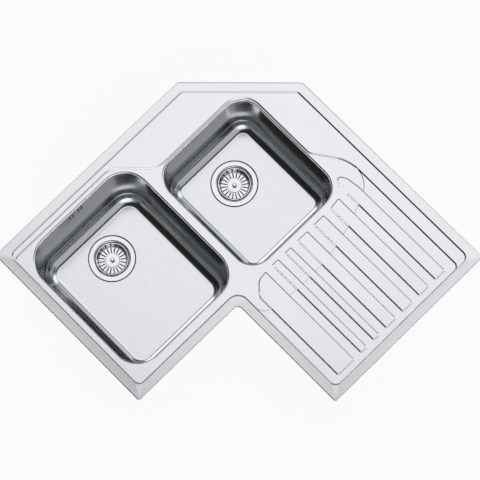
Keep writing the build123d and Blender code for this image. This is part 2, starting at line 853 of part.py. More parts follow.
def floor_pad(left, back, width, length, depth, drain_left):
    """A sound-deadening pad on the bowl floor's underside, beside the drain."""
    draft_inset = depth * wall_lean + floor_radius
    pad_left = left + drain_left + dish_radius + sheet + pad_margin
    pad_right = left + width - draft_inset - pad_margin
    pad_length = length - 2 * (draft_inset + pad_margin)
    with BuildPart() as pad:
        with BuildSketch(level(field_top - depth - sheet)):
            with Locations(((pad_left + pad_right) / 2, -(back + length / 2))):
                RectangleRounded(pad_right - pad_left, pad_length, pad_corner)
        extrude(amount=-pad_thickness)
    return pad.part


save(floor_pad(main_left, main_back, main_width, main_length, main_depth, main_drain_left), "main_bowl_pad")
save(
    floor_pad(second_left, second_back, second_width, second_length, second_depth, second_drain_left),
    "second_bowl_pad",
)

pad_left = second_right + drainer_reach + pad_margin
pad_front = leg_depth - last_rib_front
with BuildPart() as drainer_pad:
    with BuildSketch(level(drainer_top - sheet)):
        with Locations(((pad_left + rib_right) / 2, -(first_rib_back + pad_front) / 2)):
            RectangleRounded(rib_right - pad_left, pad_front - first_rib_back, pad_corner)
    extrude(amount=-pad_thickness)
save(drainer_pad.part, "drainer_pad")

# ---- Fixing clips: bracket welded under the rim, long screw, claw that swings out ----


def clip_planes():
    """One plane per clip: origin under the rim, x pointing out of the deck, z up."""
    far = wall_reach - clip_inset
    front = leg_depth - clip_inset
    wall_stations = (corner_cut + clip_from_cut, wall_reach - clip_from_end)
    front_stations = (leg_depth + front_clip_from_corner, wall_reach - front_clip_from_end)
    end_station = leg_depth / 2
    places = [((along, clip_inset), (0, 1)) for along in wall_stations]
    places += [((far, end_station), (1, 0))]
    places += [((along, front), (0, -1)) for along in reversed(front_stations)]
    places += [((front, along), (1, 0)) for along in front_stations]
    places += [((end_station, far), (0, -1))]
    places += [((clip_inset, along), (-1, 0)) for along in reversed(wall_stations)]
    return [Plane(spot(*place, under_rim), x_dir=(*out, 0), z_dir=(0, 0, 1)) for place, out in places]


clips = clip_planes()
claw_level = -clip_screw_length

with BuildPart() as clip_brackets:
    for clip in clips:
        side = Plane(clip.origin, x_dir=clip.x_dir, z_dir=-clip.y_dir).offset(-clip_length / 2)
        half = clip_width / 2
        with BuildSketch(side):
            with BuildLine():
                Polyline(
                    (half, 0),
                    (half, -clip_sheet),
                    (clip_sheet - half, -clip_sheet),
                    (clip_sheet - half, clip_sheet - clip_drop),
                    (half, clip_sheet - clip_drop),
                    (half, -clip_drop),
                    (-half, -clip_drop),
                    (-half, 0),
                    close=True,
                )
            make_face()
        extrude(amount=clip_length)
        with BuildSketch(clip.offset(-clip_drop)):
            Circle(clip_screw_radius + thread_clearance)
        extrude(amount=clip_sheet, mode=Mode.SUBTRACT)
save(clip_brackets.part, "clip_brackets")

with BuildPart() as clip_screws:
    for clip in clips:
        with BuildSketch(clip.offset(claw_level)):
            Circle(clip_screw_radius)
        extrude(amount=clip_screw_length - clip_screw_gap)
        with BuildSketch(clip.offset(claw_level - clip_head)):
            RegularPolygon(clip_head_radius, 6)
        extrude(amount=clip_head)
save(clip_screws.part, "clip_screws")

for number, clip in enumerate(clips, 1):
    parked = Plane(clip.origin, x_dir=clip.y_dir, z_dir=clip.x_dir).offset(-claw_width / 2)
    base = claw_level + thread_clearance
    with BuildPart() as claw:
        with BuildSketch(parked):
            with BuildLine():
                Polyline(
                    (-claw_tail, base),
                    (claw_reach, base),
                    (claw_reach, base + claw_tip),
                    (claw_reach - claw_sheet, base + claw_tip),
                    (claw_reach - claw_sheet, base + claw_sheet),
                    (-claw_tail, base + claw_sheet),
                    close=True,
                )
            make_face()
        extrude(amount=claw_width)
        with BuildSketch(clip.offset(base)):
            Circle(clip_screw_radius + 2 * thread_clearance)
        extrude(amount=claw_sheet, mode=Mode.SUBTRACT)
    save(claw.part, "clip_claw_" + str(number))
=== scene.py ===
# %% [markdown]
# # A corner kitchen sink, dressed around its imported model
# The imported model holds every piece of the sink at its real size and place. This script gives
# each piece its finish, and rebuilds the three pressed sheets (deck and two bowls) as finer
# meshes, because a press leaves soft bends that the construction model draws as plain slopes.
# Sizes are written in millimetres, and one factor turns them to Blender's metres.

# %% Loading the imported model
import math

import bmesh
import bpy
import numpy as np
from mathutils import Euler, Matrix, Vector
from mathutils.geometry import delaunay_2d_cdt


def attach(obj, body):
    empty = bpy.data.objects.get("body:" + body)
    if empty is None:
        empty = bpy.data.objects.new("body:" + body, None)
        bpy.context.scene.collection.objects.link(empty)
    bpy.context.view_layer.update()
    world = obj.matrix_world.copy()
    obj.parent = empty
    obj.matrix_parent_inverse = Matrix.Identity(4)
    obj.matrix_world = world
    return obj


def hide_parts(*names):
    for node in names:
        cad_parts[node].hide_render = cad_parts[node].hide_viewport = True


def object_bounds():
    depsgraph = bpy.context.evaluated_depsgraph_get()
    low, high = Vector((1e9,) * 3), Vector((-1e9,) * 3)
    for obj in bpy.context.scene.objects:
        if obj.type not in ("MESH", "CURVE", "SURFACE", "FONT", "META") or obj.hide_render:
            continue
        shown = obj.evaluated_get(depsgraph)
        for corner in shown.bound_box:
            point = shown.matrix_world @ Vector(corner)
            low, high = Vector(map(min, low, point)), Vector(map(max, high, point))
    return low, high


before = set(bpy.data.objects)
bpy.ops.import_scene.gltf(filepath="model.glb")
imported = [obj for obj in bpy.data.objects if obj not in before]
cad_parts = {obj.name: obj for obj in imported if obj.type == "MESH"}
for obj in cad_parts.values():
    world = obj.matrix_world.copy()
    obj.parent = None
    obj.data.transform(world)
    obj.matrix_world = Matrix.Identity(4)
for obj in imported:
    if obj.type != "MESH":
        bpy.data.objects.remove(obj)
cad_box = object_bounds()
MM = 0.001

# %% [markdown]
# ## The camera
# The sink was photographed from almost straight above, from the side of its inside corner, with
# a long lens. A camera is placed by a target on the deck, a direction, a distance and a small
# roll. Aiming it with a Track To constraint would be simpler, but that keeps the camera level,
# so its three axes are worked out here and written as a rotation.

# %% Placing the camera
TARGET = Vector((274.3, -269.7, 0)) * MM
AZIMUTH = math.radians(50.77)
ELEVATION = math.radians(77.33)
ROLL = math.radians(-5.40)
DISTANCE = 6.0  # metres
LENS, SENSOR = 187.0, 36.0  # millimetres
SIGHT_END = 50.0  # metres

away = Vector(
    (
        math.sin(AZIMUTH) * math.cos(ELEVATION),
        -math.cos(AZIMUTH) * math.cos(ELEVATION),
        math.sin(ELEVATION),
    )
)
level_right = Vector((math.cos(AZIMUTH), math.sin(AZIMUTH), 0))
level_up = away.cross(level_right)
right = level_right * math.cos(ROLL) + level_up * math.sin(ROLL)
up = level_up * math.cos(ROLL) - level_right * math.sin(ROLL)

camera_data = bpy.data.cameras.new("camera")
camera_data.lens = LENS
camera_data.sensor_width = SENSOR
camera_data.clip_end = SIGHT_END
camera = bpy.data.objects.new("camera", camera_data)
camera_axes = Matrix((right, up, away)).transposed().to_4x4()
camera.matrix_world = Matrix.Translation(TARGET + away * DISTANCE) @ camera_axes
bpy.context.scene.collection.objects.link(camera)
bpy.context.scene.camera = camera
print("Camera stands at", [round(v, 3) for v in camera.location])

# %% [markdown]
# ## Colours and nodes
# A colour is written as an sRGB hex value, as a paint chart would give it, but a shader works in
# linear light, so one function turns the first into the second. Materials are small graphs of
# nodes. One function adds a node with its settings and its links, which keeps each graph short
# enough to read from top to bottom.

# %% Helpers for colours and nodes


def linear(hex_colour):
    """An sRGB hex value as the linear colour that a shader wants."""
    values = [int(hex_colour[i : i + 2], 16) / 255 for i in (1, 3, 5)]
    return [v / 12.92 if v <= 0.04045 else ((v + 0.055) / 1.055) ** 2.4 for v in values] + [1]


def add_node(tree, kind, settings=None, **inputs):
    """Adds a node. An input, by name or number, is a plain value or the socket that feeds it."""
    node = tree.nodes.new(kind)
    for name, value in (settings or {}).items():
        setattr(node, name, value)
    for name, value in inputs.items():
        socket = node.inputs[int(name[1:]) if name[0] == "_" else name.replace("_", " ")]
        if isinstance(value, bpy.types.NodeSocket):
            tree.links.new(value, socket)
        else:
            socket.default_value = value
    return node


def new_material(name):
    """An empty material, and its tree of nodes."""
    made = bpy.data.materials.new(name)
    made.use_nodes = True
    made.node_tree.nodes.clear()
    return made, made.node_tree


WHITE = linear("#ffffff")
print("White is", WHITE[:3])

# %% [markdown]
# ## The white board
# The photograph has a pure white ground, and a large board under the sink stands for it. Lamps
# strong enough to make a board white would burn out the steel, so the board glows instead, and
# only for rays from the camera or by way of metal or glass. A small share of what these rays see
# is the board's own lit paint, which keeps the sink's shadow.

# %% Laying the board
BOARD_SIZE = 60.0  # metres, so that its end is never seen
BOARD_GAP = 0.5  # mm below the sink's lowest point
BOARD_GLOW = 0.93
BOARD_PAINT = "#eceded"


def lay_board():
    """One large face."""
    half = BOARD_SIZE / 2
    height = cad_box[0].z - BOARD_GAP * MM
    mesh = bpy.data.meshes.new("floor")
    square = ((-half, -half), (half, -half), (half, half), (-half, half))
    mesh.from_pydata([(x, y, height) for x, y in square], [], [(0, 1, 2, 3)])
    floor = bpy.data.objects.new("floor", mesh)
    bpy.context.scene.collection.objects.link(floor)
    return floor


def painted_board():
    """Matt white paint that glows for the rays that show the background."""
    made, tree = new_material("white_board")
    paint = add_node(tree, "ShaderNodeBsdfPrincipled", Base_Color=linear(BOARD_PAINT), Roughness=0.8)
    path = add_node(tree, "ShaderNodeLightPath")
    seen, larger = path.outputs["Is Camera Ray"], {"operation": "MAXIMUM"}
    for ray in ("Is Glossy Ray", "Is Transmission Ray"):
        seen = add_node(tree, "ShaderNodeMath", larger, _0=seen, _1=path.outputs[ray]).outputs[0]
    times = {"operation": "MULTIPLY"}
    share = add_node(tree, "ShaderNodeMath", times, _0=seen, _1=BOARD_GLOW).outputs[0]
    glow = add_node(tree, "ShaderNodeEmission", Color=WHITE, Strength=1.0)
    both = add_node(tree, "ShaderNodeMixShader", _0=share, _1=paint.outputs[0], _2=glow.outputs[0])
    add_node(tree, "ShaderNodeOutputMaterial", Surface=both.outputs[0])
    return made


lay_board().data.materials.append(painted_board())
print("The board lies at", round(cad_box[0].z, 4), "m")

# %% [markdown]
# ## The room and its lamps
# Steel shows what it reflects, so the light is a whole room: pale walls, a dark ceiling, a dark
# doorway and soft lamps between them. Its back wall is towards +Y and its left wall towards -X.
# The flat deck mirrors the box lamp overhead and looks pale, the bowls' steep sides mirror the
# ceiling and the doorway, and the pressed steps catch thin lines of both. Real lamps and cards
# would do the same, but a room drawn in the world's colour costs less time. Each lamp is a soft
# oval with a direction and a half size, and a later one lies over an earlier one. The camera
# itself sees the world white.

# %% Drawing the room
ROOM_WALLS = "#a5aaac"
LAMP_COLOUR = "#fdfcff"
LAMP_EDGE = (1.3, 0.7)  # where a lamp's light ends and is full, as a share of its half size
LAMPS = (  # azimuth from +X, elevation, half width and half height in degrees, and light
    ("dark ceiling", 0, 90, 40, 40, 0.03),
    ("dark doorway", 242, 34, 29, 38, 0.02),
    ("overhead box", 134, 74, 13, 11, 1.5),
    ("pale wall on the right", 8, 40, 15, 28, 0.7),
    ("pale ceiling", 15, 66, 14, 9, 0.7),
    ("back panel", 88, 51, 12, 16, 1.75),
    ("left panel", 166, 49, 10, 12, 1.9),
    ("front panel", 325, 34, 22, 26, 1.65),
    ("window behind", 62, 6, 22, 11, 3.5),
    ("strip on the right", 12, 5, 38, 7, 5.0),
    ("strip in front", 252, 4, 38, 7, 4.0),
    ("board below", 0, -90, 60, 60, 0.6),
)


def lamp_shape(tree, place, azimuth, elevation, half_width, half_height):
    """1 within a soft oval of the room, 0 outside it."""
    turn = (0, -math.radians(elevation), math.radians(azimuth))
    centre = Euler(turn).to_matrix() @ Vector((1, 0, 0))
    size = (1, math.sin(math.radians(half_width)), math.sin(math.radians(half_height)))
    texture, smooth = {"vector_type": "TEXTURE"}, {"interpolation_type": "SMOOTHSTEP"}
    aim = add_node(
        tree, "ShaderNodeMapping", texture, Vector=place, Location=centre, Rotation=turn, Scale=size
    )
    off = add_node(tree, "ShaderNodeVectorMath", {"operation": "LENGTH"}, _0=aim.outputs[0])
    far, near = LAMP_EDGE
    reach = off.outputs["Value"]
    oval = add_node(tree, "ShaderNodeMapRange", smooth, Value=reach, From_Min=far, From_Max=near)
    return oval.outputs[0]


def draw_room():
    """The walls, each lamp over them, and white for the camera."""
    world = bpy.data.worlds.new("room")
    world.use_nodes = True
    bpy.context.scene.world = world
    tree = world.node_tree
    tree.nodes.clear()
    place = add_node(tree, "ShaderNodeTexCoord").outputs["Generated"]
    room = add_node(tree, "ShaderNodeBackground", Color=linear(ROOM_WALLS), Strength=1.0)
    for name, *oval, light in LAMPS:
        shape = lamp_shape(tree, place, *oval)
        label, colour = {"label": name}, linear(LAMP_COLOUR)
        lamp = add_node(tree, "ShaderNodeBackground", label, Color=colour, Strength=light)
        under, over = room.outputs[0], lamp.outputs[0]
        room = add_node(tree, "ShaderNodeMixShader", _0=shape, _1=under, _2=over)
    white = add_node(tree, "ShaderNodeBackground", Color=WHITE, Strength=1.0)
    seen = add_node(tree, "ShaderNodeLightPath").outputs["Is Camera Ray"]
    shown = add_node(tree, "ShaderNodeMixShader", _0=seen, _1=room.outputs[0], _2=white.outputs[0])
    add_node(tree, "ShaderNodeOutputWorld", Surface=shown.outputs[0])


draw_room()
bpy.context.scene.view_settings.view_transform = "Standard"
print("The room has", len(LAMPS), "lamps and dark parts")

# %% [markdown]
# ## What every finish is made of
# A finish is a noise of the right size, in millimetres, that drives three things: the colour, the
# roughness and a little relief. Painting each into an image would also work, but a noise has no
# seams and stays sharp at any distance. A noise that is stretched turns into scratches, so one
# function gives scratches, clouds and skins alike.

# %% The grain of a finish
NOISE_SPAN = {"From_Min": 0.3, "From_Max": 0.7}  # a noise is mostly between these two


def grain(tree, place, length, width, detail=3.0):
    """Scratches of this length and width in millimetres, or a cloud where both are alike."""
    size = (1 / (length * MM), 1 / (width * MM), 1 / (width * MM))
    stretch = add_node(tree, "ShaderNodeMapping", Vector=place, Scale=size).outputs[0]
    return add_node(tree, "ShaderNodeTexNoise", Vector=stretch, Scale=1.0, Detail=detail).outputs[0]


print("A scratch 9 mm long repeats", round(1 / (9 * MM)), "times in a metre")

# %% [markdown]
# ## Sanded stainless steel
# The deck is 18/10 stainless steel sheet. After pressing it is sanded with a fine belt, which
# leaves short scratches in one direction: the eye sees a soft, broad reflection with a fine grain
# in it. Real scratches are about a tenth of a millimetre apart, too fine for this picture, so
# they are drawn coarser. A second, very large noise lets the grey drift a little.

# %% The deck's steel


def satin_sanded_stainless():
    """The deck: belt-sanded sheet, pale and soft."""
    made, tree = new_material("satin_sanded_stainless")
    place = add_node(tree, "ShaderNodeTexCoord").outputs["Object"]
    scratches = grain(tree, place, length=9, width=0.35)
    drift = grain(tree, place, length=130, width=90, detail=1)
    grey = add_node(tree, "ShaderNodeValToRGB", Fac=drift)
    grey.color_ramp.elements[0].color = linear("#cacbcc")
    grey.color_ramp.elements[1].color = linear("#cfd0d1")
    soft = {"Value": scratches, "To_Min": 0.15, "To_Max": 0.20}
    rough = add_node(tree, "ShaderNodeMapRange", **soft, **NOISE_SPAN)
    relief = add_node(tree, "ShaderNodeBump", Height=scratches, Distance=0.004 * MM, Strength=0.5)
    driven = {"Base_Color": grey.outputs[0], "Roughness": rough.outputs[0]}
    steel = add_node(
        tree, "ShaderNodeBsdfPrincipled", Metallic=1.0, Normal=relief.outputs[0], **driven
    )
    add_node(tree, "ShaderNodeOutputMaterial", Surface=steel.outputs[0])
    return made


deck_steel = satin_sanded_stainless()
print("Made", deck_steel.name)

# %% [markdown]
# ## Drawn and brushed stainless steel
# The bowls are drawn from the same sheet and then brushed along their sides, so their grain
# follows the wall round, and their reflections are pulled out across it. The punch also leaves
# broad, shallow waves. The grain can't follow the wall in plain space, so this finish takes its
# place from the texture coordinates that the bowls' meshes will carry.

# %% The bowls' steel
BOWL_GREY = "#c6c8c9"
WAVE_SHARE = 14.0  # a wave is this many times as high as a scratch


def drawn_brushed_stainless():
    """The bowls: drawn deep, then brushed round the wall."""
    made, tree = new_material("drawn_brushed_stainless")
    place = add_node(tree, "ShaderNodeUVMap", {"uv_map": "round_the_wall"}).outputs[0]
    scratches = grain(tree, place, length=60, width=0.7)
    waves = grain(tree, place, length=300, width=9, detail=2)
    soft = {"Value": scratches, "To_Min": 0.12, "To_Max": 0.19}
    rough = add_node(tree, "ShaderNodeMapRange", **soft, **NOISE_SPAN)
    joined = {"operation": "MULTIPLY_ADD"}
    both = add_node(tree, "ShaderNodeMath", joined, _0=waves, _1=WAVE_SHARE, _2=scratches).outputs[0]
    relief = add_node(tree, "ShaderNodeBump", Height=both, Distance=0.003 * MM, Strength=0.6)
    along = {"direction_type": "UV_MAP", "uv_map": "round_the_wall"}
    round_the_wall = add_node(tree, "ShaderNodeTangent", along)
    pulled = {"Anisotropic": 0.3, "Tangent": round_the_wall.outputs[0]}
    driven = {"Roughness": rough.outputs[0], "Normal": relief.outputs[0]}
    grey = {"Base_Color": linear(BOWL_GREY), "Metallic": 1.0}
    steel = add_node(tree, "ShaderNodeBsdfPrincipled", **grey, **driven, **pulled)
    add_node(tree, "ShaderNodeOutputMaterial", Surface=steel.outputs[0])
    return made


bowl_steel = drawn_brushed_stainless()
print("The bowls' steel reflects", [round(v, 3) for v in linear(BOWL_GREY)[:3]], "of the light")

# %% [markdown]
# ## The sheet's unseen side
# Nobody sands the underside of a sink. It keeps the dull, slightly cloudy grey that the sheet had
# when it left the rolling mill. One mesh can carry two materials, so the sheet's two sides
# differ without a second object.

# %% The mill finish


def mill_finish_stainless():
    """The underside: matt and a little darker, so the bowls' outsides read as bare sheet."""
    made, tree = new_material("mill_finish_stainless")
    place = add_node(tree, "ShaderNodeTexCoord").outputs["Object"]
    skin = grain(tree, place, length=1.5, width=1.5, detail=4)
    grey = add_node(tree, "ShaderNodeValToRGB", Fac=grain(tree, place, length=70, width=45))
    grey.color_ramp.elements[0].color = linear("#9c9fa0")
    grey.color_ramp.elements[1].color = linear("#acaeaf")
    dull = {"Value": skin, "To_Min": 0.30, "To_Max": 0.40}
    rough = add_node(tree, "ShaderNodeMapRange", **dull, **NOISE_SPAN)
    relief = add_node(tree, "ShaderNodeBump", Height=skin, Distance=0.01 * MM, Strength=0.4)
    driven = {"Base_Color": grey.outputs[0], "Roughness": rough.outputs[0]}
    steel = add_node(
        tree, "ShaderNodeBsdfPrincipled", Metallic=1.0, Normal=relief.outputs[0], **driven
    )
    add_node(tree, "ShaderNodeOutputMaterial", Surface=steel.outputs[0])
    return made


dull_steel = mill_finish_stainless()
print("Made", dull_steel.name)

# %% [markdown]
# ## Bright steel of the strainers
# The strainers are pressed from bright-annealed sheet and left as the press made them: shiny, and
# slightly wavy. The waves are much wider than the grain that softens the gloss, so each comes
# from its own noise.

# %% The strainers' steel


def pressed_bright_stainless():
    """The strainers: thin, bright and a little uneven."""
    made, tree = new_material("pressed_bright_stainless")
    place = add_node(tree, "ShaderNodeTexCoord").outputs["Object"]
    skin = grain(tree, place, length=1.2, width=1.2, detail=4)
    waves = grain(tree, place, length=9, width=9, detail=2)
    bright = {"Value": skin, "To_Min": 0.11, "To_Max": 0.20}
    rough = add_node(tree, "ShaderNodeMapRange", **bright, **NOISE_SPAN)
    relief = add_node(tree, "ShaderNodeBump", Height=waves, Distance=0.03 * MM, Strength=0.3)
    driven = {"Roughness": rough.outputs[0], "Normal": relief.outputs[0]}
    grey = {"Base_Color": linear("#cfd0d1"), "Metallic": 1.0}
    steel = add_node(tree, "ShaderNodeBsdfPrincipled", **grey, **driven)
    add_node(tree, "ShaderNodeOutputMaterial", Surface=steel.outputs[0])
    return made


strainer_steel = pressed_bright_stainless()
print("Made", strainer_steel.name)

# %% [markdown]
# ## Turned steel of knobs and screws
# Knobs and screws are turned from bar, and the tool leaves fine rings round them. Nearly all of
# them stand upright, so a noise that is almost even sideways and quick upwards gives the rings,
# without a texture coordinate for each piece.

# %% The knobs' and screws' steel
RINGS_PER_MM = 4
SIDEWAYS_PER_MM = 0.04


def turned_bright_steel():
    """Knobs and screws: rings a quarter of a millimetre apart."""
    made, tree = new_material("turned_bright_steel")
    place = add_node(tree, "ShaderNodeTexCoord").outputs["Object"]
    size = (SIDEWAYS_PER_MM / MM, SIDEWAYS_PER_MM / MM, RINGS_PER_MM / MM)
    stretch = add_node(tree, "ShaderNodeMapping", Vector=place, Scale=size).outputs[0]
    rings = add_node(tree, "ShaderNodeTexNoise", Vector=stretch, Scale=1.0, Detail=2.0).outputs[0]
    bright = {"Value": rings, "To_Min": 0.10, "To_Max": 0.20}
    rough = add_node(tree, "ShaderNodeMapRange", **bright, **NOISE_SPAN)
    relief = add_node(tree, "ShaderNodeBump", Height=rings, Distance=0.01 * MM, Strength=0.4)
    driven = {"Roughness": rough.outputs[0], "Normal": relief.outputs[0]}
    grey = {"Base_Color": linear("#dcddde"), "Metallic": 1.0}
    steel = add_node(tree, "ShaderNodeBsdfPrincipled", **grey, **driven)
    add_node(tree, "ShaderNodeOutputMaterial", Surface=steel.outputs[0])
    return made


bright_steel = turned_bright_steel()
print("Made", bright_steel.name)

# %% [markdown]
# ## Zinc-plated clips
# The clips, claws and their screws are mild steel with a thin bright coat of zinc. Its passive
# film is a little thicker here and thinner there, which gives a faint blue and yellow bloom.

# %% The clips' zinc
ZINC_BLOOM = ((0.30, "#aeb4ba"), (0.5, "#b9bcbd"), (0.70, "#bdb9ab"))


def zinc_plated_steel():
    """Clips: greyer and softer than bright steel, with patches of colour."""
    made, tree = new_material("zinc_plated_steel")
    place = add_node(tree, "ShaderNodeTexCoord").outputs["Object"]
    bloom = add_node(tree, "ShaderNodeValToRGB", Fac=grain(tree, place, length=7, width=7))
    bloom.color_ramp.elements.new(ZINC_BLOOM[1][0])
    for element, (position, colour) in zip(bloom.color_ramp.elements, ZINC_BLOOM):
        element.position = position
        element.color = linear(colour)
    fine = grain(tree, place, length=0.8, width=0.8)
    soft = {"Value": fine, "To_Min": 0.28, "To_Max": 0.42}
    rough = add_node(tree, "ShaderNodeMapRange", **soft, **NOISE_SPAN)
    relief = add_node(tree, "ShaderNodeBump", Height=fine, Distance=0.02 * MM, Strength=0.5)
    driven = {"Base_Color": bloom.outputs[0], "Roughness": rough.outputs[0]}
    plated = add_node(
        tree, "ShaderNodeBsdfPrincipled", Metallic=1.0, Normal=relief.outputs[0], **driven
    )
    add_node(tree, "ShaderNodeOutputMaterial", Surface=plated.outputs[0])
    return made


zinc = zinc_plated_steel()
print("The bloom has", len(ZINC_BLOOM), "colours")

# %% [markdown]
# ## Rubber of the gaskets
# Gaskets and seals are black nitrile rubber, which comes out of its mould matt and soon gathers
# a fine dust. A black that is quite black would hide their shape, so it is a very dark grey.

# %% The gaskets' rubber


def nitrile_rubber():
    """Gaskets and seals: almost black and matt, with a fine dusty skin."""
    made, tree = new_material("nitrile_rubber")
    place = add_node(tree, "ShaderNodeTexCoord").outputs["Object"]
    fine = grain(tree, place, length=0.7, width=0.7, detail=4)
    black = add_node(tree, "ShaderNodeValToRGB", Fac=grain(tree, place, 12, 12, detail=2))
    black.color_ramp.elements[0].color = linear("#161718")
    black.color_ramp.elements[1].color = linear("#242526")
    matt = {"Value": fine, "To_Min": 0.50, "To_Max": 0.68}
    rough = add_node(tree, "ShaderNodeMapRange", **matt, **NOISE_SPAN)
    relief = add_node(tree, "ShaderNodeBump", Height=fine, Distance=0.04 * MM, Strength=0.5)
    driven = {"Roughness": rough.outputs[0], "Normal": relief.outputs[0]}
    skin = add_node(tree, "ShaderNodeBsdfPrincipled", Base_Color=black.outputs[0], **driven)
    add_node(tree, "ShaderNodeOutputMaterial", Surface=skin.outputs[0])
    return made


rubber = nitrile_rubber()
print("Made", rubber.name)

# %% [markdown]
# ## Plastic of the wastes
# The waste parts are moulded in white polypropylene, which is waxy and lets a little light in
# before it sends it back. A few millimetres of subsurface light do that, where a plain white
# would look like paint.

# %% The wastes' plastic
GLOW_DEPTH = 4  # mm that light gets into the wall


def moulded_polypropylene():
    """Wastes, pipe and nut: white and waxy, with soft edges to their shades."""
    made, tree = new_material("moulded_polypropylene")
    place = add_node(tree, "ShaderNodeTexCoord").outputs["Object"]
    skin = grain(tree, place, length=0.5, width=0.5)
    white = add_node(tree, "ShaderNodeValToRGB", Fac=grain(tree, place, 40, 40, detail=2))
    white.color_ramp.elements[0].color = linear("#dedfdc")
    white.color_ramp.elements[1].color = linear("#ecece8")
    waxy = {"Value": skin, "To_Min": 0.34, "To_Max": 0.46}
    rough = add_node(tree, "ShaderNodeMapRange", **waxy, **NOISE_SPAN)
    relief = add_node(tree, "ShaderNodeBump", Height=skin, Distance=0.02 * MM, Strength=0.5)
    driven = {"Roughness": rough.outputs[0], "Normal": relief.outputs[0]}
    plastic = add_node(tree, "ShaderNodeBsdfPrincipled", Base_Color=white.outputs[0], **driven)
    plastic.inputs["Subsurface Weight"].default_value = 0.15
    plastic.inputs["Subsurface Radius"].default_value = (GLOW_DEPTH * MM,) * 3
    plastic.inputs["Subsurface Scale"].default_value = 0.5
    add_node(tree, "ShaderNodeOutputMaterial", Surface=plastic.outputs[0])
    return made


plastic = moulded_polypropylene()
print("Made", plastic.name)

# %% [markdown]
# ## Foam and sound pads
# The strip under the rim is closed-cell foam, whose cut cells show as pits a little under a
# millimetre wide; its grey is painted darker towards the middle of each pit, which is painted
# shade. The sound pads are heavy bitumen sheet with a pebbled face. Both patterns are cells, so
# both are drawn with a Voronoi texture and not with a noise.

# %% The strip's foam and the pads' bitumen
PITS_PER_MM = 1.1
PEBBLES_PER_MM = 0.42


def closed_cell_foam():
    """The sealing strip: dark grey, dull and pitted, with painted shade in its pits."""
    made, tree = new_material("closed_cell_foam")
    place = add_node(tree, "ShaderNodeTexCoord").outputs["Object"]
    cells = add_node(tree, "ShaderNodeTexVoronoi", Vector=place, Scale=PITS_PER_MM / MM)
    pit_depth_and_painted_shade = cells.outputs["Distance"]
    # Painted shade: the grey is darker where a pit is deepest, following the bump's depth.
    grey = add_node(tree, "ShaderNodeValToRGB", Fac=pit_depth_and_painted_shade)
    grey.color_ramp.elements[0].color = linear("#4f5152")
    grey.color_ramp.elements[1].color = linear("#7d7f80")
    relief = add_node(tree, "ShaderNodeBump", Height=pit_depth_and_painted_shade, Distance=0.25 * MM, Strength=0.8)
    driven = {"Base_Color": grey.outputs[0], "Normal": relief.outputs[0]}
    dull = add_node(tree, "ShaderNodeBsdfPrincipled", Roughness=0.9, **driven)
    add_node(tree, "ShaderNodeOutputMaterial", Surface=dull.outputs[0])
    return made


def bitumen_pad():
    """The pads: speckled charcoal with pebbles about 2.4 mm wide."""
    made, tree = new_material("bitumen_pad")
    place = add_node(tree, "ShaderNodeTexCoord").outputs["Object"]
    rounded, size = {"feature": "SMOOTH_F1"}, PEBBLES_PER_MM / MM
    cells = add_node(tree, "ShaderNodeTexVoronoi", rounded, Vector=place, Scale=size)
    pebbles = cells.outputs["Distance"]
    speckle = add_node(tree, "ShaderNodeValToRGB", Fac=grain(tree, place, 1.1, 1.1, detail=5))
    speckle.color_ramp.elements[0].color = linear("#3b3d3e")
    speckle.color_ramp.elements[1].color = linear("#5a5c5d")
    relief = add_node(tree, "ShaderNodeBump", Height=pebbles, Distance=0.3 * MM, Strength=0.7)
    driven = {"Base_Color": speckle.outputs[0], "Normal": relief.outputs[0]}
    dull = add_node(tree, "ShaderNodeBsdfPrincipled", Roughness=0.75, **driven)
    add_node(tree, "ShaderNodeOutputMaterial", Surface=dull.outputs[0])
    return made


foam = closed_cell_foam()
pad = bitumen_pad()
print("Made", foam.name, "and", pad.name)

# %% [markdown]
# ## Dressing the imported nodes
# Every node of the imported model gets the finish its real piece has. The names tell what a node
# is, so one list of name endings is enough. Setting each node by hand would also work, but ten
# clip claws and two wastes would then be written out again and again.

# %% Assigning finishes
FINISHES = (
    (strainer_steel, ("strainer_cup", "_basket")),
    (bright_steel, ("_basket_knob", "clamp_screw", "overflow_screw")),
    (rubber, ("_gasket", "_seal", "port_washer")),
    (plastic, ("waste_body", "overflow_housing", "overflow_pipe", "port_nut")),
    (foam, ("sealing_strip",)),
    (pad, ("_pad",)),
    (zinc, ("clip_brackets", "clip_screws")),
)


def finish_of(node_name):
    """The finish that a node's name asks for. The pressed sheets are what remains."""
    if node_name.startswith("clip_claw"):
        return zinc
    for material, endings in FINISHES:
        if node_name.endswith(endings):
            return material
    return deck_steel


for node_name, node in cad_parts.items():
    node.data.materials.clear()
    node.data.materials.append(finish_of(node_name))
print("Dressed", len(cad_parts), "nodes")

# %% [markdown]
# ## Drawing the pressed lines
# A press leaves lines that are straight runs joined by arcs: the rim, the swinging field line,
# the drainer's curved step and the ribs. Each is written here by its corners and radii, in
# millimetres from the two walls, as a toolmaker would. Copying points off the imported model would
# be quicker, but a line that is drawn by its corners can also be drawn again a little further in
# or out, and that is what a soft bend needs.

# %% A line from its corners and radii
FACET_TURN = math.radians(5)  # the most one facet of an arc turns
FACET_SAG = 0.02  # the most a facet cuts off its arc, in mm
SMALLEST_RADIUS = 0.05  # mm, so that an arc never turns inside out


def signed_area(points):
    """Positive where the line runs anticlockwise."""
    x, y = np.array(points).T
    return 0.5 * np.sum(x * np.roll(y, -1) - np.roll(x, -1) * y)


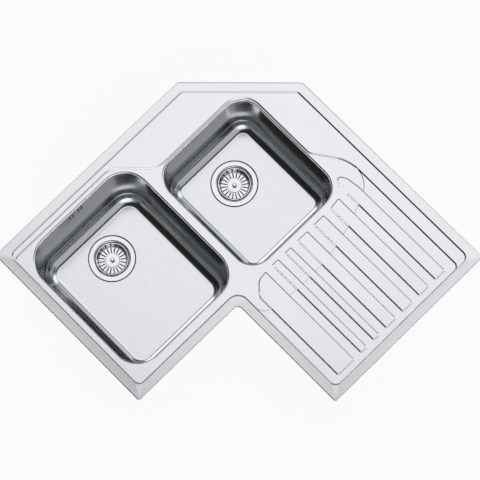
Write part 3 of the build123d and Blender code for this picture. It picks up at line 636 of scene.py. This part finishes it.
def rounded_line(corners, radii, inset=0.0):
    """A closed line of straight runs and arcs, moved inwards. Its corners turn either way."""
    corners = np.array(corners, float)
    side = np.sign(signed_area(corners))
    runs = np.roll(corners, -1, axis=0) - corners
    runs /= np.linalg.norm(runs, axis=1)[:, None]
    inward = side * np.column_stack((-runs[:, 1], runs[:, 0]))
    line = []
    for i, corner in enumerate(corners):
        into, out = runs[i - 1], runs[i]
        bulge = side * np.sign(into[0] * out[1] - into[1] * out[0])
        turn = math.acos(np.clip(into @ out, -1, 1))
        moved = corner + inset * (inward[i - 1] + inward[i]) / (1 + inward[i - 1] @ inward[i])
        radius = max(radii[i] - bulge * inset, SMALLEST_RADIUS)
        start = moved - into * radius * math.tan(turn / 2)
        centre = start + bulge * inward[i - 1] * radius
        step = 2 * math.acos(1 - FACET_SAG / max(radii[i], 1))
        facets = max(2, math.ceil(turn / min(step, FACET_TURN)))
        for k in range(facets + 1):
            angle = side * bulge * turn * k / facets
            spoke = start - centre
            c, s = math.cos(angle), math.sin(angle)
            line.append(centre + (c * spoke[0] - s * spoke[1], s * spoke[0] + c * spoke[1]))
    return np.array(line)


print("A 30 mm square with 5 mm corners has", end=" ")
print(len(rounded_line([(0, 0), (30, 0), (30, 30), (0, 30)], [5] * 4)), "points")

# %% [markdown]
# ## Edge, rim, field and drainer
# Four lines divide the deck into its levels: the turned-down edge, the rim, the sunk field that
# swings in behind the bowls, and the lowest part, whose right end is the drainer's curved step.
# Edge and rim follow the same seven runs, so one function draws both.

# %% Lines of the deck's levels
WALL_REACH, LEG_DEPTH, CORNER_CUT = 830.0, 500.0, 216.0
WALL_RIM, FRONT_RIM = 25.0, 24.0
STRIP_MIDDLE = 9.0  # from the deck's edge to the middle of the sealing strip
CORNER_PLACE = round(CORNER_CUT / 2 + STRIP_MIDDLE / math.sqrt(2), 4)  # from the origin
KITCHEN_CORNER = Vector((-CORNER_PLACE, CORNER_PLACE))  # where the two walls meet


def deck_line(wall_inset, front_inset, radius, notch, cut, inset=0.0):
    """The L-shaped line that follows all seven edges of the deck."""
    far, front = WALL_REACH - front_inset, LEG_DEPTH - front_inset
    slant = CORNER_CUT + wall_inset * (math.sqrt(2) - 1)
    corners = [(slant, -wall_inset), (far, -wall_inset), (far, -front), (front, -front)]
    corners += [(front, -far), (wall_inset, -far), (wall_inset, -slant)]
    return rounded_line(corners, [cut, radius, radius, notch, radius, radius, cut], inset)


def edge_line(inset=0.0):
    """The deck's outline."""
    return deck_line(0, 0, radius=7, notch=12, cut=10, inset=inset)


def rim_line(inset=0.0):
    """Where the rim steps down to the ledge."""
    return deck_line(WALL_RIM, FRONT_RIM, radius=18, notch=28, cut=10, inset=inset)


def field_line(inset=0.0):
    """Round the sunk field: along the free edges, and swinging in behind the bowls."""
    corners = [(40, -804.4), (40, -481), (120.8, -403), (120.8, -113.8), (353, -113.8)]
    corners += [(433, -58), (804.4, -58), (804.4, -474.4), (474.4, -474.4), (474.4, -804.4)]
    return rounded_line(corners, [13, 55, 55, 61, 27.5, 110, 13, 16.4, 29.6, 16.4], inset)


def sunk_line(inset=0.0):
    """Round the lowest part of the field. Right of the bowls it is the drainer's curved step."""
    corners = [(-50, -59.8), (499.5, -59.8), (595.6, -265.9), (557.3, -472.6)]
    corners += [(472.6, -472.6), (472.6, -900), (-50, -900)]
    return rounded_line(corners, [5, 60, 567, 27.5, 31.4, 5, 5], inset)


def drainer_line(inset=0.0):
    """Only the curved step, with the two ends that swing into the field's edges."""
    line = sunk_line(inset)
    middle, back_end, front_end = -300, 445, 510  # where its two ends fade into the field
    return line[line[:, 0] > np.where(line[:, 1] > middle, back_end, front_end)]


print("The rim line has", len(rim_line()), "points")

# %% [markdown]
# ## The drainer's ribs
# Seven ribs carry wet dishes. They run side by side with the same gap, and differ in width, so
# writing the widths down once gives every place. An array of one rib would be simpler, but the
# first has a tail like a leaf, behind the second bowl, the next leans a little, and the last is
# wide and cut back in front, beside the deck's inside corner.

# %% Lines of the ribs
RIB_WIDTHS = (35, 35, 36, 36, 22, 23, 57)
RIB_GAP, RIB_RADIUS = 20.0, 5
RIB_LEFT, RIB_RIGHT, FIRST_RIB = 486.0, 790.0, 87.0
LEAF_RIB, LEANING_RIB, WIDE_RIB = 0, 1, 6  # the ribs whose left ends differ
LEAF_REACH, LEAN = 48, 5


def rib_line(number, inset=0.0):
    """One rib's foot: a leaf shape behind, plain bars, and a wide one cut back in front."""
    back = FIRST_RIB + sum(RIB_WIDTHS[:number]) + RIB_GAP * number
    front = back + RIB_WIDTHS[number]
    lean = LEAN if number == LEANING_RIB else 0
    tail, radii = [(RIB_LEFT - lean, -back), (RIB_LEFT, -front)], [RIB_RADIUS, RIB_RADIUS]
    if number == LEAF_RIB:
        tip = RIB_LEFT - LEAF_REACH
        tail = [(tip + 60, -back), (tip + 24, -back - 5), (tip, -back - 20), (tip + 24, -front)]
        radii = [90, 40, 8, 30]
    if number == WIDE_RIB:
        tail = [(RIB_LEFT, -back), (RIB_LEFT + 4, -back - 28.5), (RIB_LEFT + 34, -front)]
        radii = [RIB_RADIUS, 30, 26]
    ends = [(RIB_RIGHT, -front), (RIB_RIGHT, -back)]
    return rounded_line(tail + ends, radii + [RIB_RADIUS, RIB_RADIUS], inset)


print("The ribs take up", sum(RIB_WIDTHS) + RIB_GAP * (len(RIB_WIDTHS) - 1), "mm in depth")

# %% [markdown]
# ## Heights of the pressed deck
# Every level of the deck is a height above the worktop. Going inwards over a line, the height
# eases from one level to the next with a curve that starts and ends flat, which is the soft bend
# of a press tool. Where lines lie side by side or cross, the levels are blended one after the
# other, so a rib rises out of the drainer's floor and the field sinks out of the ledge.

# %% Distance from a line, and the easing over it
RIM_BEND = (-1.1, 2.6)  # mm outside and inside the line
FIELD_BEND = (-1.5, 2.2)
DRAINER_BEND = (-1.1, 0.5)
RIB_BEND = (0.2, 3.7)


def inside_distance(points, line):
    """How far each point lies inside a closed line. Outside, it is negative."""
    nearest = np.full(len(points), np.inf)
    inside = np.zeros(len(points), bool)
    x, y = points.T
    for (ax, ay), (bx, by) in zip(line, np.roll(line, -1, axis=0)):
        run_x, run_y = bx - ax, by - ay
        along = ((x - ax) * run_x + (y - ay) * run_y) / max(run_x**2 + run_y**2, 1e-12)
        along = np.clip(along, 0, 1)
        nearest = np.minimum(nearest, np.hypot(x - ax - along * run_x, y - ay - along * run_y))
        if ay != by:
            inside ^= ((ay > y) != (by > y)) & (x < ax + (y - ay) * run_x / run_y)
    return np.where(inside, nearest, -nearest)


def ease(distance, bend):
    """From 0 before the bend to 1 past it, flat at both ends."""
    t = np.clip((distance - bend[0]) / (bend[1] - bend[0]), 0, 1)
    return t * t * (3 - 2 * t)


print("Over the rim's line a bend has done", round(float(ease(0, RIM_BEND)), 2), "of its way")

# %% [markdown]
# ## The deck's levels
# Each level is laid over the one before: the low field and the drainer's floor, the ribs, the
# ledge and last the rim. The rim slopes down a little to the worktop, so that its edge doesn't
# stand up and catch a cloth, and its last 2.5 mm roll over into the turned-down edge.

# %% Height of the deck at any point
RIM_TOP, LEDGE_TOP, FIELD_TOP, DRAINER_TOP, RIB_TOP = 5.0, 3.4, 1.2, 2.0, 4.2
EDGE_ROLL, EDGE_LIFT, SHEET = 2.5, 0.5, 1.0
RIM_FALL = 0.7  # the rim slopes down to the deck's edge by this much


def deck_height(points):
    """The deck's top surface over points given in millimetres from the kitchen's corner."""
    sunk = ease(inside_distance(points, sunk_line()), DRAINER_BEND)
    height = DRAINER_TOP + (FIELD_TOP - DRAINER_TOP) * sunk
    for number in range(len(RIB_WIDTHS)):
        rise = ease(inside_distance(points, rib_line(number)), RIB_BEND)
        height += (RIB_TOP - height) * rise
    fall = ease(inside_distance(points, field_line()), FIELD_BEND)
    height = LEDGE_TOP + (height - LEDGE_TOP) * fall
    from_edge = inside_distance(points, edge_line())
    rim = RIM_TOP - RIM_FALL * np.clip(1 - from_edge / FRONT_RIM, 0, 1)
    height = rim + (height - rim) * ease(inside_distance(points, rim_line()), RIM_BEND)
    from_edge = np.clip(from_edge, 0, EDGE_ROLL)
    return height - EDGE_ROLL + np.sqrt(EDGE_ROLL**2 - (EDGE_ROLL - from_edge) ** 2)


print("Height over the field:", deck_height(np.array([(300.0, -430.0)])))

# %% [markdown]
# ## One net through all lines
# Each line is laid down several times, closer together where the bend is tight, and a Delaunay
# triangulation joins all the copies into one net. A regular grid would need millions of faces to
# draw these lines as crisply.

# %% Copies of a line, and the net
BEND_MARGIN = 0.4  # mm past a bend's end, where one more copy of its line keeps the flat flat
SAME_POINT = 1e-4  # mm


def bend_copies(line, bend, count=8):
    """Copies of a line across its bend, and one just outside each end."""
    low, high = bend
    shares = [0.5 - 0.5 * math.cos(math.pi * k / count) for k in range(count + 1)]
    steps = [low + (high - low) * share for share in shares]
    return [line(inset) for inset in [low - BEND_MARGIN] + steps + [high + BEND_MARGIN]]


def flat_net(closed, opened=()):
    """Points and triangles of one net through all these lines."""
    points, edges = [], []
    for lines, is_closed in ((closed, True), (opened, False)):
        for line in lines:
            first, count = len(points), len(line)
            points += [tuple(p) for p in line]
            spans = range(count if is_closed else count - 1)
            edges += [(first + k, first + (k + 1) % count) for k in spans]
    net = delaunay_2d_cdt([Vector(p) for p in points], edges, [], 0, SAME_POINT)
    triangles = [tuple(face) for face in net[2] if len(face) == 3]
    return np.array([tuple(v) for v in net[0]]), triangles


print("A bend of the rim takes", len(bend_copies(rim_line, RIM_BEND)), "copies of its line")

# %% [markdown]
# ## From a net to a sheet of steel
# A net has no thickness. A Solidify modifier gives it one, and its underside takes the mesh's
# second material, the mill finish. A Boolean modifier cuts holes where a sheet has any. Both are
# applied at once, so that the piece is a plain mesh and nothing is left to work out later.

# %% Making and placing a sheet
CREASE = math.radians(40)  # edges sharper than this stay sharp


def sheet_object(name, points, faces, material, uvs=None, cutter=None):
    """A shaded sheet from points in millimetres from the kitchen's corner."""
    mesh = bpy.data.meshes.new(name)
    shift = np.array((*KITCHEN_CORNER, 0))
    mesh.from_pydata([tuple(p) for p in (np.array(points) + shift) * MM], [], faces)
    if uvs:
        layer = mesh.uv_layers.new(name="round_the_wall")
        layer.data.foreach_set("uv", np.array(uvs).ravel())
    mesh.materials.append(material)
    mesh.materials.append(dull_steel)
    draft = bpy.data.objects.new(name + "_draft", mesh)
    bpy.context.scene.collection.objects.link(draft)
    solid = draft.modifiers.new("sheet", "SOLIDIFY")
    solid.thickness = SHEET * MM
    solid.offset = -1
    solid.material_offset = 1
    if cutter:
        cut = draft.modifiers.new("holes", "BOOLEAN")
        cut.object = cutter
        cut.solver = "EXACT"
    evaluated = draft.evaluated_get(bpy.context.evaluated_depsgraph_get())
    finished = bpy.data.meshes.new_from_object(evaluated)
    finished.name = name
    finished.shade_smooth()
    finished.set_sharp_from_angle(angle=CREASE)
    bpy.data.objects.remove(draft)
    made = bpy.data.objects.new(name, finished)
    bpy.context.scene.collection.objects.link(made)
    return made


def place_sheet(sheet, node_name):
    """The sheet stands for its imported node, and is welded to the sink."""
    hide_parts(node_name)
    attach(sheet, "sink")
    print(sheet.name, "has", len(sheet.data.polygons), "faces")


print("Every sheet is", SHEET, "mm thick")

# %% [markdown]
# ## The deck's net
# All lines of the deck go into one net: the rolled edge, the rim, the field, the drainer's step,
# the ribs and the two mouths that the bowls are welded into. Triangles outside the edge or inside
# a mouth are dropped, which is simpler than cutting them out afterwards.

# %% Netting the deck
LIP = 6.0  # the bowl's own lip and land round its mouth
ROLL_ANGLES = (0, 15, 30, 45, 60, 75, 90)  # degrees round the rolled edge
MAIN_MOUTH = ((55.0, -787.0), (449.0, -447.0), 66.0)  # two opposite corners, and the radius
SECOND_MOUTH = ((129.0, -420.0), (468.0, -122.0), 55.0)


def mouth_line(mouth, inset=0.0):
    """A bowl's rounded rectangle."""
    (left, low), (right_side, high), radius = mouth
    corners = [(left, low), (right_side, low), (right_side, high), (left, high)]
    return rounded_line(corners, [radius] * 4, inset)


def deck_net():
    """The flat net of the deck, with the two mouths left open."""
    roll = [EDGE_ROLL * (1 - math.cos(math.radians(a))) for a in ROLL_ANGLES]
    closed = [edge_line(inset) for inset in roll + [EDGE_ROLL + BEND_MARGIN]]
    closed += bend_copies(rim_line, RIM_BEND) + bend_copies(field_line, FIELD_BEND)
    for number in range(len(RIB_WIDTHS)):
        closed += bend_copies(lambda inset: rib_line(number, inset), RIB_BEND)
    mouths = [mouth_line(MAIN_MOUTH, -LIP), mouth_line(SECOND_MOUTH, -LIP)]
    points, triangles = flat_net(closed + mouths, bend_copies(drainer_line, DRAINER_BEND, 6))
    middles = np.array([points[list(t)].mean(axis=0) for t in triangles])
    keep = inside_distance(middles, edge_line()) > 0
    for line in mouths:
        keep &= inside_distance(middles, line) < 0
    return points, [t for t, kept in zip(triangles, keep) if kept]


flat, deck_faces = deck_net()
print("The deck's net has", len(deck_faces), "triangles")

# %% [markdown]
# ## The pressed deck
# The net is lifted to its heights, as the press would do in one stroke. A narrow wall is then
# turned down round the edge and stops just above the worktop, as the real edge does.

# %% Building the deck


def pressed_deck(flat, faces):
    """The net at its heights, and the wall round its edge."""
    points = [(x, y, z) for (x, y), z in zip(flat, deck_height(flat))]
    edge = edge_line()
    nearest = [int(np.argmin(np.hypot(*(flat - p).T))) for p in edge]
    first = len(points)
    points += [(x, y, EDGE_LIFT) for x, y in edge]
    walls = []
    for k in range(len(edge)):
        n = (k + 1) % len(edge)
        walls.append((nearest[k], first + k, first + n, nearest[n]))
    if signed_area(edge) < 0:
        walls = [wall[::-1] for wall in walls]
    return points, faces + walls


deck = sheet_object("pressed_deck", *pressed_deck(flat, deck_faces), deck_steel)
place_sheet(deck, "deck_and_drainer")

# %% [markdown]
# ## A bowl's section
# A bowl is drawn from flat sheet in one or two strokes. Its section is a rounded lip, a wall that
# leans in by 3.5 degrees so the punch can leave, and a floor radius wide enough for a cloth. A
# bevelled box would come close, but its corners would pinch where the radii meet, so the section
# is written as pairs of inset and height, which fit a mouth of any shape.

# %% Drawing the section
BOWL_DRAFT = math.radians(3.5)
LIP_RADIUS, FLOOR_RADIUS = 5.0, 32.0
SEAM_LAND, FOOT_LAND = 0.5, 1.0  # mm of flat beside the seam, and inside the foot
LIP_STEPS, WALL_STEPS, FOOT_STEPS = 12, 6, 20


def arc_points(centre, radius, start, end, count):
    """Points of an arc in the section."""
    turns = np.linspace(start, end, count)
    return [(centre[0] + radius * math.cos(a), centre[1] + radius * math.sin(a)) for a in turns]


def bowl_section(depth):
    """The bowl's section, from the welded seam to the floor, as inset and height."""
    foot = FIELD_TOP - depth
    half_turn = (math.pi / 2 - BOWL_DRAFT) / 2
    section = [(-LIP, FIELD_TOP), (-LIP + SEAM_LAND, FIELD_TOP)]
    lip_centre = (-LIP_RADIUS * math.tan(half_turn), FIELD_TOP - LIP_RADIUS)
    section += arc_points(lip_centre, LIP_RADIUS, math.pi / 2, BOWL_DRAFT, LIP_STEPS)
    foot_inset = depth * math.tan(BOWL_DRAFT) + FLOOR_RADIUS * math.tan(half_turn)
    foot_centre = (foot_inset, foot + FLOOR_RADIUS)
    bend = arc_points(foot_centre, FLOOR_RADIUS, math.pi + BOWL_DRAFT, 1.5 * math.pi, FOOT_STEPS)
    top, low = np.array(section[-1]), np.array(bend[0])
    section += [tuple(top + (low - top) * k / WALL_STEPS) for k in range(1, WALL_STEPS)]
    return section + bend + [(bend[-1][0] + FOOT_LAND, foot)]


print("The main bowl's section has", len(bowl_section(180.0)), "points")

# %% [markdown]
# ## Rings down the wall
# The wall follows the section with rings, each ring a copy of the mouth moved inwards. The rings
# also give the brushing its direction: one texture coordinate runs round the wall and one down
# it. Unwrapping the finished bowl would cut the grain at its seams.

# %% The wall of a bowl


def bowl_wall(mouth, section):
    """Points, faces and texture coordinates of the rings, and the last ring."""
    rings = [mouth_line(mouth, inset) for inset, height in section]
    count = len(rings[0])
    points = [(x, y, height) for ring, (inset, height) in zip(rings, section) for x, y in ring]
    runs = np.linalg.norm(np.roll(rings[0], -1, axis=0) - rings[0], axis=1)
    around = np.concatenate(([0], np.cumsum(runs))) * MM
    drops = np.linalg.norm(np.diff(section, axis=0), axis=1)
    down = np.concatenate(([0], np.cumsum(drops))) * MM
    faces, uvs = [], []
    for j in range(len(section) - 1):
        for k in range(count):
            n = (k + 1) % count
            faces.append((j * count + k, (j + 1) * count + k, (j + 1) * count + n, j * count + n))
            uvs += [(around[k], down[j]), (around[k], down[j + 1])]
            uvs += [(around[k + 1], down[j + 1]), (around[k + 1], down[j])]
    if signed_area(rings[0]) > 0:
        faces = [face[::-1] for face in faces]
        uvs = [uvs[4 * (i // 4) + 3 - i % 4] for i in range(len(uvs))]
    return points, faces, uvs, rings[-1]


print("The second bowl's wall has", len(bowl_wall(SECOND_MOUTH, bowl_section(160.0))[1]), "faces")

# %% [markdown]
# ## The dished floor
# The floor is a net again, between the wall's last ring and the drain. Circles round the drain
# shape the recess that takes the strainer's flange flush. Where the net meets the wall it uses
# the wall's own points, so that the two are one sheet.

# %% The floor of a bowl
SEAT_BEND = (57.6, 60.0)  # mm from the drain's axis
SEAT_DROP, DRAIN_HOLE = 2.0, 45.5
SEAT_STEPS, SEAT_MARGIN = 9, 0.5
DRAIN_TURN = 5  # degrees from one point of a circle to the next
WELD = 1e-3  # mm within which a point of the floor is the wall's own


def drain_circle(drain, radius):
    """A circle round the drain's axis."""
    angles = np.radians(np.arange(0, 360, DRAIN_TURN))
    return np.array(drain) + radius * np.column_stack((np.cos(angles), np.sin(angles)))


def drawn_bowl(mouth, depth, drain):
    """The wall, then one net for the floor with its dished drain."""
    points, faces, uvs, last_ring = bowl_wall(mouth, bowl_section(depth))
    first = len(points) - len(last_ring)
    radii = [DRAIN_HOLE] + list(np.linspace(*SEAT_BEND, SEAT_STEPS)) + [SEAT_BEND[1] + SEAT_MARGIN]
    net, triangles = flat_net([last_ring] + [drain_circle(drain, radius) for radius in radii])
    from_drain = np.hypot(*(net - np.array(drain)).T)
    heights = FIELD_TOP - depth - SEAT_DROP * (1 - ease(from_drain, SEAT_BEND))
    numbers = []
    for (x, y), height in zip(net, heights):
        apart = np.hypot(last_ring[:, 0] - x, last_ring[:, 1] - y)
        if apart.min() < WELD:
            numbers.append(first + int(apart.argmin()))
        else:
            numbers.append(len(points))
            points.append((x, y, height))
    for triangle in triangles:
        middle = net[list(triangle)].mean(axis=0)
        if np.hypot(*(middle - np.array(drain))) > DRAIN_HOLE:
            faces.append(tuple(numbers[v] for v in triangle))
            uvs += [(points[v][0] * MM, points[v][1] * MM) for v in faces[-1]]
    return points, faces, uvs


print("A drain circle has", len(drain_circle((0, 0), DRAIN_HOLE)), "points")

# %% [markdown]
# ## The overflow's slots
# Four upright slots with a screw between them lie high in the main bowl's left wall. They are
# pierced after the bowl is drawn, so one block with all five shapes is made, to be cut out of
# the finished sheet. Netting the wall round the holes would also work, but would break the rings.

# %% The punch for the slots
OVERFLOW_PLACE, OVERFLOW_DROP = 617, 22  # mm along the wall, and down from the field
SLOT_OFFSETS = (-19, -9.5, 9.5, 19)
SLOT_SIZE = (12, 5.5, 20)  # through the wall, along it and down it
SLOT_CORNER, SCREW_HOLE = 0.6, 2.1  # radii


def overflow_cutter():
    """Four upright slots and a screw hole, as one block to cut them with."""
    block = bmesh.new()
    along = KITCHEN_CORNER.y - OVERFLOW_PLACE
    centre = Vector((MAIN_MOUTH[0][0] + KITCHEN_CORNER.x, along, FIELD_TOP - OVERFLOW_DROP)) * MM
    for offset in SLOT_OFFSETS:
        hole = bmesh.ops.create_cube(block, size=1)["verts"]
        bmesh.ops.scale(block, vec=[side * MM for side in SLOT_SIZE], verts=hole)
        bmesh.ops.translate(block, vec=centre + Vector((0, offset * MM, 0)), verts=hole)
        own = [e for e in block.edges if set(e.verts) <= set(hole)]
        corners = [e for e in own if abs((e.verts[0].co - e.verts[1].co).x) > MM]
        bmesh.ops.bevel(
            block, geom=corners, offset=SLOT_CORNER * MM, segments=3, affect="EDGES", profile=0.5
        )
    turn = Matrix.Translation(centre) @ Matrix.Rotation(math.pi / 2, 4, "Y")
    radius, depth = SCREW_HOLE * MM, SLOT_SIZE[0] * MM
    bmesh.ops.create_cone(
        block, cap_ends=True, segments=24, radius1=radius, radius2=radius, depth=depth, matrix=turn
    )
    mesh = bpy.data.meshes.new("overflow_cutter")
    block.to_mesh(mesh)
    block.free()
    punch = bpy.data.objects.new("overflow_cutter", mesh)
    bpy.context.scene.collection.objects.link(punch)
    return punch


cutter = overflow_cutter()
print("The punch has", len(cutter.data.polygons), "faces")

# %% [markdown]
# ## Both bowls
# The two bowls differ only in mouth, depth and drain, and in the slots that only the main one
# has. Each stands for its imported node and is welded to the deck. The block that cut the slots was
# only a tool, so it is deleted.

# %% Placing the bowls
BOWLS = (  # name, mouth, depth, drain and what is cut out
    ("main_bowl", MAIN_MOUTH, 180.0, (168.0, -617.0), cutter),
    ("second_bowl", SECOND_MOUTH, 160.0, (249.0, -271.0), None),
)

for name, mouth, depth, drain, holes in BOWLS:
    points, faces, uvs = drawn_bowl(mouth, depth, drain)
    place_sheet(sheet_object("drawn_" + name, points, faces, bowl_steel, uvs, holes), name)
bpy.data.objects.remove(cutter)
